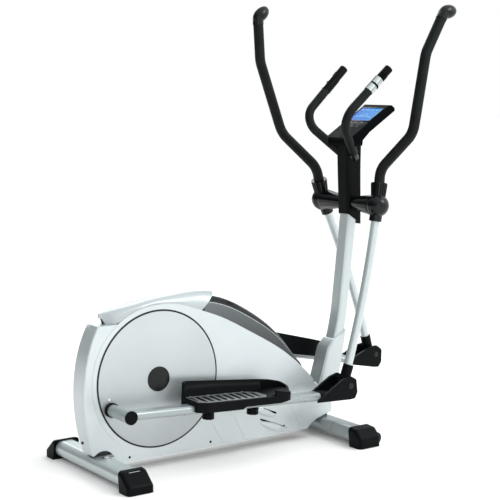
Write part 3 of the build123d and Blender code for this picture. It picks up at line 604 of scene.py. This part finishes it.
def block(centre, size, turn, soft_edge):
    """Rounded block with its middle at centre, turned by a rotation matrix."""
    bpy.ops.object.select_all(action="DESELECT")
    bpy.ops.mesh.primitive_cube_add(size=1, location=centre)
    piece = bpy.context.active_object
    piece.rotation_euler = turn.to_euler()
    piece.scale = size
    only(piece)
    bpy.ops.object.transform_apply(location=False, rotation=False, scale=True)
    bevel = piece.modifiers.new("rim", "BEVEL")
    bevel.width = soft_edge
    bevel.segments = 2
    bpy.ops.object.modifier_apply(modifier="rim")
    return piece


def leaf(centre, length, height, proud, turn):
    """Leaf-shaped swelling, pointed at both ends."""
    bpy.ops.object.select_all(action="DESELECT")
    bpy.ops.mesh.primitive_uv_sphere_add(segments=40, ring_count=24, radius=1, location=(0, 0, 0),
                                         rotation=(0, pi / 2, 0))
    piece = bpy.context.active_object
    settle(piece)
    swell = piece.modifiers.new("swell", "SIMPLE_DEFORM")
    swell.deform_method = "STRETCH"
    swell.deform_axis = "X"
    swell.factor = -0.3
    bpy.ops.object.modifier_apply(modifier="swell")
    piece.scale = (length / 2, proud, height / 2)
    settle(piece)
    piece.rotation_euler = turn.to_euler()
    piece.location = centre
    return piece


def screw_head(centre, outward):
    """Round head with a sunk middle, facing along +Y or -Y."""
    head = stub(centre, (0, outward, 0), sizes().screw_radius, depth=0.004, soft_edge=0.0008, sides=32)
    bpy.ops.object.mode_set(mode="EDIT")
    bpy.ops.mesh.select_all(action="DESELECT")
    bpy.ops.object.mode_set(mode="OBJECT")
    for face in head.data.polygons:
        face.select = face.normal.z > 0.99 and face.area > 0.00002
    bpy.ops.object.mode_set(mode="EDIT")
    bpy.ops.mesh.select_mode(type="FACE")
    bpy.ops.mesh.inset(thickness=0.0016)
    bpy.ops.mesh.extrude_region_move(TRANSFORM_OT_translate={"value": (0, -outward * 0.0016, 0)})
    bpy.ops.object.mode_set(mode="OBJECT")
    return head


def copied(piece, centre, turn=None):
    """Copy of a piece with a mesh of its own, moved to centre and turned anew where asked."""
    only(piece)
    bpy.ops.object.duplicate()
    copy = bpy.context.active_object
    copy.location = centre
    if turn is not None:
        copy.rotation_euler = turn.to_euler()
    return copy


def repeated(piece, centres):
    """The piece, which stands at the first centre, and a copy of it at each of the others."""
    return [piece, *(copied(piece, centre) for centre in centres[1:])]


def joined(pieces):
    """One object from several."""
    bpy.ops.object.select_all(action="DESELECT")
    for piece in pieces:
        piece.select_set(True)
    bpy.context.view_layer.objects.active = pieces[0]
    bpy.ops.object.join()
    return bpy.context.active_object


def cut_across(piece, point, normal):
    """Add an edge loop where a plane crosses a piece."""
    only(piece)
    bpy.ops.object.mode_set(mode="EDIT")
    bpy.ops.mesh.select_all(action="SELECT")
    bpy.ops.mesh.bisect(plane_co=point, plane_no=normal)
    bpy.ops.mesh.select_all(action="DESELECT")
    bpy.ops.object.mode_set(mode="OBJECT")


def cut_both_sides(piece, *distances):
    """Add edge loops across a piece at the same distances left and right of its middle."""
    for y in sorted(way * distance for distance in distances for way in (-1, 1)):
        cut_across(piece, (0, y, 0), (0, 1, 0))


def repaint(piece, finish, wanted):
    """Give another finish to the faces whose middle wanted(middle) picks."""
    piece.data.materials.append(finishes[finish])
    index = len(piece.data.materials) - 1
    for face in piece.data.polygons:
        if wanted(face.center):
            face.material_index = index


def joint_spot(name):
    """Place of a joint at rest."""
    for joint in frame["joints"]:
        if joint["name"] == name:
            return Vector(joint["pos_m"])
    raise RuntimeError("the record has no joint " + name)


def hand(side):
    """+1 on the user's left, -1 on the right."""
    return 1 if side == "left" else -1


def tilt(side):
    """Lean of one swing arm at rest, top forward, from its two pivots."""
    drop = joint_spot(side + "_bar_pivot") - joint_spot(side + "_arm_swing")
    return atan2(drop.x, drop.z) - atan2(*ARM_FOOT)


def in_arm(side, point):
    """Place a point of an arm's own frame, given for the left side, at rest."""
    turned = Matrix.Rotation(tilt(side), 3, "Y") @ Vector((point[0], 0, point[2]))
    pivot = joint_spot(side + "_arm_swing")
    return Vector((pivot.x + turned.x, hand(side) * point[1], pivot.z + turned.z))


def crank_pin(side):
    """Middle of one crank pin at rest, from the hub trim round it."""
    low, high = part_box(side + "_hub_trim")
    return (low + high) / 2


def bar_turn(side):
    """Turn of one pedal bar at rest, from its crank pin and its front pivot."""
    pin = crank_pin(side)
    pivot = joint_spot(side + "_bar_pivot")
    reach, rise = BAR_FRONT
    return Matrix.Rotation(atan2(pin.z - pivot.z, pivot.x - pin.x) + atan2(rise, reach), 3, "Y")


def in_bar(side, point):
    """Place a point of a pedal bar's own frame, given for the left side, at rest."""
    pin = crank_pin(side)
    turned = bar_turn(side) @ Vector((point[0], 0, point[2]))
    return Vector((pin.x + turned.x, hand(side) * point[1], pin.z + turned.z))


# ------------------------------------------------------------------ pieces
class TRAINER_OT_casing_trim(bpy.types.Operator):
    """Black ring painted as the shade in the gap round each crank disc, gill lips, screws and the bolt
    beside each crank pin
    """

    bl_idname = "trainer.casing_trim"
    bl_label = "Casing trim"

    def execute(self, context):
        crank = joint_spot("crank_spin")
        lip_turn = Matrix.Rotation(radians(22), 3, "Y")
        for side in SIDES:
            y = hand(side)
            # Painted shade: a black ring laid over the gap between each disc and the casing.
            near, far = sorted(y * face for face in GAP_SHADE_FACES)
            shade_ring = ring(crank, GAP_SHADE_RADIUS, GAP_SHADE_RADIUS + sizes().gap_width, near, far)
            finish_piece(shade_ring, side + "_disc_gap_shade", "frame", "black_and_gap_shade")
            lips = []
            for x, z, length, height in GILL_LIPS:
                lips.append(leaf((crank.x + x, y * 0.0415, z), length, height, proud=0.0088, turn=lip_turn))
            finish_piece(joined(lips), side + "_gill_lips", "frame", "casing_silver")
            spots = [(crank.x + x, y * CASING_FACE, z) for x, z in CASING_SCREWS]
            heads = joined(repeated(screw_head(spots[0], y), spots))
            finish_piece(heads, side + "_casing_screws", "frame", "black_and_gap_shade")
        spine = stub((crank.x - 0.2945, -0.020, 0.125), (-1, 0, -0.1), radius=0.0052, depth=0.006,
                     soft_edge=0.0012, sides=32)
        finish_piece(spine, "spine_screw", "frame", "black_and_gap_shade")
        for side in SIDES:
            y = hand(side)
            pin = crank_pin(side)
            away = Vector((pin.x - crank.x, 0, pin.z - crank.z)).normalized()
            beside = Matrix.Rotation(radians(y * 75), 3, "Y") @ (-away * 0.036)
            dot = stub(Vector((pin.x, y * 0.0458, pin.z)) + beside, (0, y, 0), radius=0.0042, depth=0.003,
                       soft_edge=0.0008, sides=32)
            finish_piece(dot, side + "_disc_bolt", "crank", "dot_white")
        return {"FINISHED"}


class TRAINER_OT_foot_bolts(bpy.types.Operator):
    """Washers and bolts that hold the rear cross tube"""

    bl_idname = "trainer.foot_bolts"
    bl_label = "Foot bolts"

    def execute(self, context):
        low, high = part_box("rear_stabilizer")
        middle = (low + high) / 2
        up = Vector((0, 0, 1))
        for side in SIDES:
            spot = Vector((middle.x, hand(side) * 0.066, high.z))
            washer = stub(spot + up * 0.0008, up, radius=0.019, depth=0.004, soft_edge=0.0012)
            head = stub(spot + up * 0.0055, up, radius=0.010, depth=0.008, soft_edge=0.0015, sides=6)
            finish_piece(joined([washer, head]), side + "_foot_bolt", "frame", "turned_steel")
        return {"FINISHED"}


class TRAINER_OT_arm_trim(bpy.types.Operator):
    """Ribs round each grip sleeve and a seam round each ball joint"""

    bl_idname = "trainer.arm_trim"
    bl_label = "Arm trim"

    def execute(self, context):
        count = sizes().rib_count
        rise, spread, narrowing = 0.058, 0.0287, 0.0050
        for side in SIDES:
            ball = in_arm(side, ARM_BALL)
            up = (in_arm(side, SLEEVE_END) - ball).normalized()
            base = up.to_track_quat("Z", "Y").to_matrix()
            ribs = []
            for number in range(count):
                outwards = base @ Matrix.Rotation(2 * pi * number / count, 3, "Z") @ Vector((1, 0, 0))
                lean = (up * rise + outwards * narrowing).normalized()
                across = lean.cross(outwards).normalized()
                turn = Matrix((across.cross(lean), across, lean)).transposed()
                centre = ball + up * rise + outwards * spread
                if ribs:
                    ribs.append(copied(ribs[0], centre, turn))
                else:
                    ribs.append(block(centre, (0.0024, 0.0040, 0.050), turn, soft_edge=0.0008))
            finish_piece(joined(ribs), side + "_sleeve_ribs", side + "_arm", "black_satin")
            near, far = sorted((hand(side) * 0.1672, hand(side) * 0.1688))
            seam = ring(ball, 0.0422, 0.0445, near, far, steps=96)
            finish_piece(seam, side + "_ball_seam", side + "_arm", "black_satin")
        return {"FINISHED"}


class TRAINER_OT_console_trim(bpy.types.Operator):
    """Display frame, display marks, key strip and key marks"""

    bl_idname = "trainer.console_trim"
    bl_label = "Console trim"

    def execute(self, context):
        slope = Matrix.Rotation(-SCREEN_LEAN, 3, "Y")
        along = slope @ Vector((1, 0, 0))
        out = slope @ Vector((0, 0, 1))
        low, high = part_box("console_screen")
        screen = Vector(((low.x + high.x) / 2, 0, (low.z + high.z) / 2))

        def plates(places, size, soft_edge=0.0001):
            """Like plates on the console's face, placed along it, across it and above it."""
            spots = [screen + along * a + Vector((0, b, 0)) + out * h for a, b, h in places]
            return repeated(block(spots[0], size, slope, soft_edge), spots)

        edge, end, proud = 0.0455, 0.0665, 0.0016
        border = [*plates([(edge, 0, proud), (-edge, 0, proud)], (0.003, 0.136, 0.0022), 0.0006),
                  *plates([(0, end, proud), (0, -end, proud)], (0.094, 0.003, 0.0022), 0.0006)]
        finish_piece(joined(border), "display_frame", "frame", "black_sheen")
        flush = 0.0009
        marks = []
        for number, height in enumerate(DISPLAY_BARS):
            place = (-0.026 + BAR_STEP / 2 * height, 0.046 - number * 0.0084, flush)
            marks += plates([place], (BAR_STEP * height, 0.0055, 0.0006))
        fields = [(0.029, 0.042 - number * 0.028, flush) for number in range(4)]
        marks += plates(fields, (0.010, 0.018, 0.0006))
        finish_piece(joined(marks), "display_marks", "frame", "display_light")
        strip = plates([(-0.0705, 0, flush)], (0.042, 0.128, 0.0009), 0.0004)
        finish_piece(strip[0], "key_strip", "frame", "key_grey")
        legends = [*plates([(-0.0570, across, proud) for across in KEY_PLACES], (0.0022, 0.012, 0.0006)),
                   *plates([(-0.0845, across, proud) for across in KEY_PLACES], (0.0018, 0.008, 0.0006))]
        finish_piece(joined(legends), "key_legends", "frame", "print_grey")
        return {"FINISHED"}


class TRAINER_OT_pulse_trim(bpy.types.Operator):
    """Black inner halves of the pulse pads, with a band and three ridges on each bar"""

    bl_idname = "trainer.pulse_trim"
    bl_label = "Pulse trim"

    def execute(self, context):
        pads = bpy.data.objects["pulse_pads_skin"]
        low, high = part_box("pulse_pads")
        middle = (low + high) / 2
        for y in (-1, 1):
            cut_across(pads, (0, y * 0.1335, 0), (-0.05 * y, 1, 0))
        repaint(pads, "black_satin", lambda at: abs(at.y) < 0.1325 + 0.049 * (at.x - middle.x))
        for side in SIDES:
            y = hand(side)
            heading = Vector((PULSE_RUN.x, y * PULSE_RUN.y, PULSE_RUN.z))
            centre = Vector((middle.x, y * PULSE_MIDDLE, middle.z))
            band = stub(centre, heading, radius=0.0193, depth=0.0075, soft_edge=0.0012, sides=64)
            finish_piece(band, side + "_pulse_band", "frame", "black_satin")
            spots = [centre + heading * (0.042 + 0.008 * number) for number in range(3)]
            ridge = stub(spots[0], heading, radius=0.0178, depth=0.003, soft_edge=0.0008, sides=64)
            finish_piece(joined(repeated(ridge, spots)), side + "_bar_end_ridges", "frame", "black_satin")
        return {"FINISHED"}


class TRAINER_OT_pedal_trim(bpy.types.Operator):
    """Screws of the tread strips, fork bolts and the black front of each bar"""

    bl_idname = "trainer.pedal_trim"
    bl_label = "Pedal trim"

    def execute(self, context):
        for side in SIDES:
            body = side + "_bar"
            turn = bar_turn(side)
            spots = [in_bar(side, (x, y, TREAD_TOP)) for x, y in TREAD_SCREWS]
            screw = stub(spots[0], turn @ Vector((0, 0, 1)), radius=0.0034, depth=0.0022, soft_edge=0.0009,
                         sides=20)
            finish_piece(joined(repeated(screw, spots)), side + "_tread_screws", body, "pulse_metal")
            bar = bpy.data.objects[side + "_pedal_bar_skin"]
            normal = turn @ Vector((1, 0, 0))
            start = in_bar(side, (BAR_NOSE, 0.149, 0))
            cut_across(bar, start, normal)
            repaint(bar, "black_satin", lambda at: (at - start).dot(normal) > 0)
            bolts = []
            for y, sides in FORK_BOLTS:
                centre = in_bar(side, (BAR_FRONT[0], y, BAR_FRONT[1]))
                bolts.append(stub(centre, (0, 1, 0), radius=0.0125, depth=0.004, soft_edge=0.0012,
                                  sides=sides))
            finish_piece(joined(bolts), side + "_fork_bolts", body, "black_sheen")
        return {"FINISHED"}


# ------------------------------------------------------------------ studio
LAMPS = (("key", (2.6, -3.8, 4.4), 2.4, 1.0), ("fill", (-2.2, -4.6, 1.2), 2.4, 0.16),
         ("rim", (1.5, 4.0, 3.4), 2.5, 0.5))  # name, place, width, share of the key light's power
LAMP_AIM = Vector((0, 0, 0.7))
BRIGHT_SIDE = Vector((0.62, -0.42, 0.66)).normalized()  # the room is brightest this way
ROOM_SPAN = (0.04, 1.72)  # strength of the room's light on its dark and its bright side
CAMERA_PLACE = (-2.8818, -4.0558, 1.3805)
CAMERA_TURN = (radians(90 - 7.299), radians(-0.09), radians(-35.298))


class TRAINER_OT_studio(bpy.types.Operator):
    """Pale floor, soft lights and the camera"""

    bl_idname = "trainer.studio"
    bl_label = "Studio"

    def execute(self, context):
        studio = context.scene.trainer_studio
        bpy.ops.object.select_all(action="DESELECT")
        bpy.ops.mesh.primitive_plane_add(size=60, location=(0, 0, 0))
        floor = context.active_object
        floor.name = "studio_floor"
        mat, shader = new_finish("studio_white", (0.99, 0.95, 0.94), 0.75, specular=0.1)
        vary_colour(mat, shader, place_noise(mat, 0.6, 2.0), (0.985, 0.945, 0.935), (0.995, 0.955, 0.945))
        floor.data.materials.append(mat)

        world = bpy.data.worlds.new("studio_air")
        world.use_nodes = True
        nodes = world.node_tree.nodes
        links = world.node_tree.links
        room = nodes["Background"]
        coords = nodes.new("ShaderNodeTexCoord")
        facing = nodes.new("ShaderNodeVectorMath")
        facing.operation = "DOT_PRODUCT"
        facing.inputs[1].default_value = BRIGHT_SIDE
        level = nodes.new("ShaderNodeMapRange")
        level.inputs["From Min"].default_value = -0.6
        level.inputs["From Max"].default_value = 1.0
        level.inputs["To Min"].default_value = ROOM_SPAN[0] * studio.world_light
        level.inputs["To Max"].default_value = ROOM_SPAN[1] * studio.world_light
        backdrop = nodes.new("ShaderNodeBackground")
        rays = nodes.new("ShaderNodeLightPath")
        choose = nodes.new("ShaderNodeMixShader")
        links.new(coords.outputs["Generated"], facing.inputs[0])
        links.new(facing.outputs["Value"], level.inputs["Value"])
        links.new(level.outputs["Result"], room.inputs["Strength"])
        room.inputs["Color"].default_value = (0.93, 0.99, 1, 1)
        backdrop.inputs["Color"].default_value = (1, 1, 1, 1)
        links.new(rays.outputs["Is Camera Ray"], choose.inputs["Fac"])
        links.new(room.outputs["Background"], choose.inputs[1])
        links.new(backdrop.outputs["Background"], choose.inputs[2])
        links.new(choose.outputs["Shader"], nodes["World Output"].inputs["Surface"])
        context.scene.world = world

        for name, spot, size, share in LAMPS:
            bpy.ops.object.light_add(type="AREA", location=spot)
            lamp = context.active_object
            lamp.name = "studio_" + name
            lamp.data.size = size
            lamp.data.energy = studio.key_power * share
            lamp.rotation_euler = (LAMP_AIM - Vector(spot)).to_track_quat("-Z", "Y").to_euler()

        bpy.ops.object.camera_add(location=CAMERA_PLACE, rotation=CAMERA_TURN)
        camera = context.active_object
        camera.data.lens = studio.lens
        camera.data.sensor_width = 36
        camera.data.clip_end = 200
        context.scene.camera = camera
        context.scene.view_settings.view_transform = "Standard"
        return {"FINISHED"}


class TRAINER_PT_panel(bpy.types.Panel):
    """Lists the trainer's operators"""

    bl_idname = "TRAINER_PT_panel"
    bl_label = "Elliptical Trainer"
    bl_space_type = "VIEW_3D"
    bl_region_type = "UI"
    bl_category = "Trainer"

    def draw(self, context):
        for operator in OPERATORS:
            self.layout.operator(operator.bl_idname)


OPERATORS = (
    TRAINER_OT_casing, TRAINER_OT_base, TRAINER_OT_drive, TRAINER_OT_mast, TRAINER_OT_console,
    TRAINER_OT_handlebars, TRAINER_OT_arms, TRAINER_OT_bars, TRAINER_OT_pedals, TRAINER_OT_casing_trim,
    TRAINER_OT_foot_bolts, TRAINER_OT_arm_trim, TRAINER_OT_console_trim, TRAINER_OT_pulse_trim,
    TRAINER_OT_pedal_trim, TRAINER_OT_studio,
)
CLASSES = (TrainerSizes, TrainerColours, TrainerStudio, *OPERATORS, TRAINER_PT_panel)


def register():
    for cls in CLASSES:
        bpy.utils.register_class(cls)
    bpy.types.Scene.trainer_sizes = bpy.props.PointerProperty(type=TrainerSizes)
    bpy.types.Scene.trainer_colours = bpy.props.PointerProperty(type=TrainerColours)
    bpy.types.Scene.trainer_studio = bpy.props.PointerProperty(type=TrainerStudio)


def unregister():
    del bpy.types.Scene.trainer_studio
    del bpy.types.Scene.trainer_colours
    del bpy.types.Scene.trainer_sizes
    for cls in reversed(CLASSES):
        bpy.utils.unregister_class(cls)


def main():
    """Build every piece in order."""
    register()
    make_finishes()
    bpy.ops.trainer.casing()
    bpy.ops.trainer.base()
    bpy.ops.trainer.drive()
    bpy.ops.trainer.mast()
    bpy.ops.trainer.console()
    bpy.ops.trainer.handlebars()
    bpy.ops.trainer.arms()
    bpy.ops.trainer.bars()
    bpy.ops.trainer.pedals()
    bpy.ops.trainer.casing_trim()
    bpy.ops.trainer.foot_bolts()
    bpy.ops.trainer.arm_trim()
    bpy.ops.trainer.console_trim()
    bpy.ops.trainer.pulse_trim()
    bpy.ops.trainer.pedal_trim()
    bpy.ops.trainer.studio()


if __name__ == "__main__":
    main()
